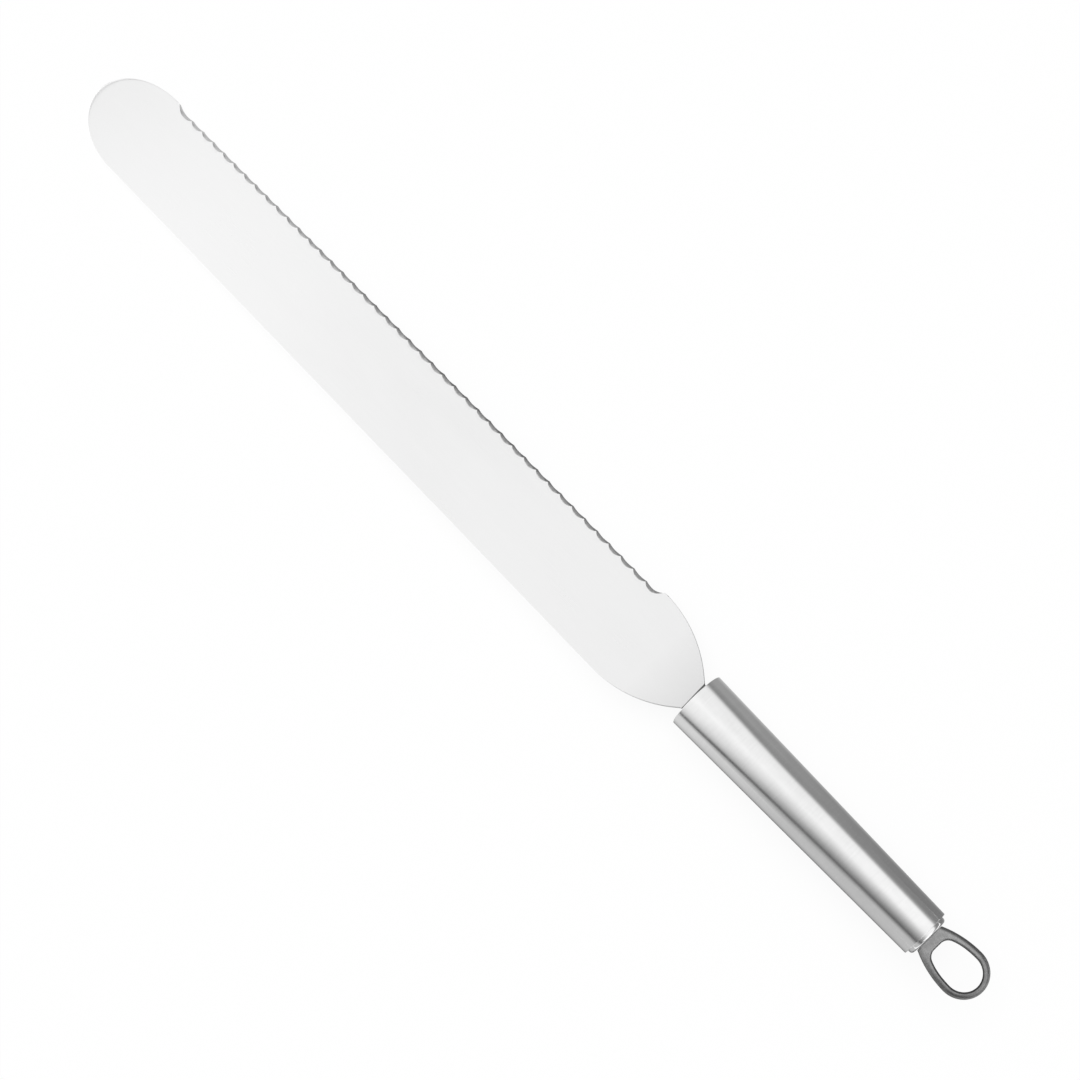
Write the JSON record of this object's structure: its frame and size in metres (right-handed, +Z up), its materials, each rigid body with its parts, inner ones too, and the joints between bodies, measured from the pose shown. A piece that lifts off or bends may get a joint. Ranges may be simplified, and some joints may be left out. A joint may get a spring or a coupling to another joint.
{
  "type": "cake knife",
  "caption": "Long flat cake knife with a rounded tip and a scalloped edge, in a tapered round metal handle that ends in a small hanging loop.",
  "frame": {"origin": "centre of the knife's footprint on the table that it rests on", "axes": "+X from the blade's tip towards the hanging loop, +Y towards the scalloped edge, +Z up from the table"},
  "size_m": [0.4082, 0.032, 0.0205],
  "materials": {
    "blade_steel": "satin, ground along the blade",
    "tube_steel": "satin polish",
    "cast_metal": "cast, tumbled smooth",
    "core_plastic": "moulded",
    "pin_steel": "drawn wire"
  },
  "bodies": {
    "root": {"blade": "blade_steel", "handle_tube": "tube_steel", "front_plug": "tube_steel", "core_upper": "core_plastic", "core_lower": "core_plastic", "tang_pin_front": "pin_steel", "tang_pin_rear": "pin_steel", "tail_plug": "tube_steel", "hanging_loop": "cast_metal", "loop_pin": "pin_steel"}
  },
  "joints": []
}
